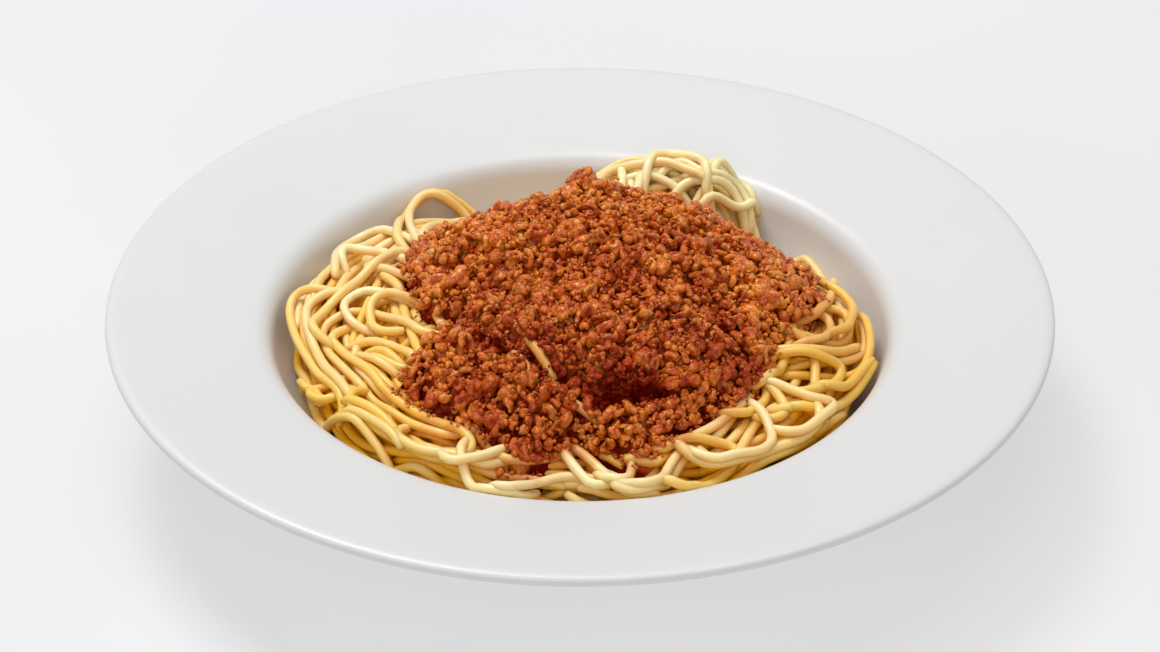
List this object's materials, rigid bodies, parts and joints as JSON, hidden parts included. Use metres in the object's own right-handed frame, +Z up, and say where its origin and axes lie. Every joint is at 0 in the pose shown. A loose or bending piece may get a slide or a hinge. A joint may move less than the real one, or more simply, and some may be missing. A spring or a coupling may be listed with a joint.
{
  "type": "plate of spaghetti bolognese",
  "caption": "Deep wide-rimmed white porcelain plate holding a heap of spaghetti with a mound of minced meat and tomato sauce on it",
  "frame": {"origin": "centre of the plate's foot, on the table", "axes": "+Z up, -Y towards the eater and the camera, +X to the eater's right"},
  "size_m": [0.27, 0.27, 0.0659],
  "materials": {
    "porcelain": "smooth clear glaze",
    "pasta": "cooked wheat pasta, moist with a little oil",
    "meat_sauce": "fine minced meat in oily tomato sauce"
  },
  "bodies": {
    "root": {"plate": "porcelain", "spaghetti": "pasta", "bolognese": "meat_sauce"}
  },
  "joints": []
}
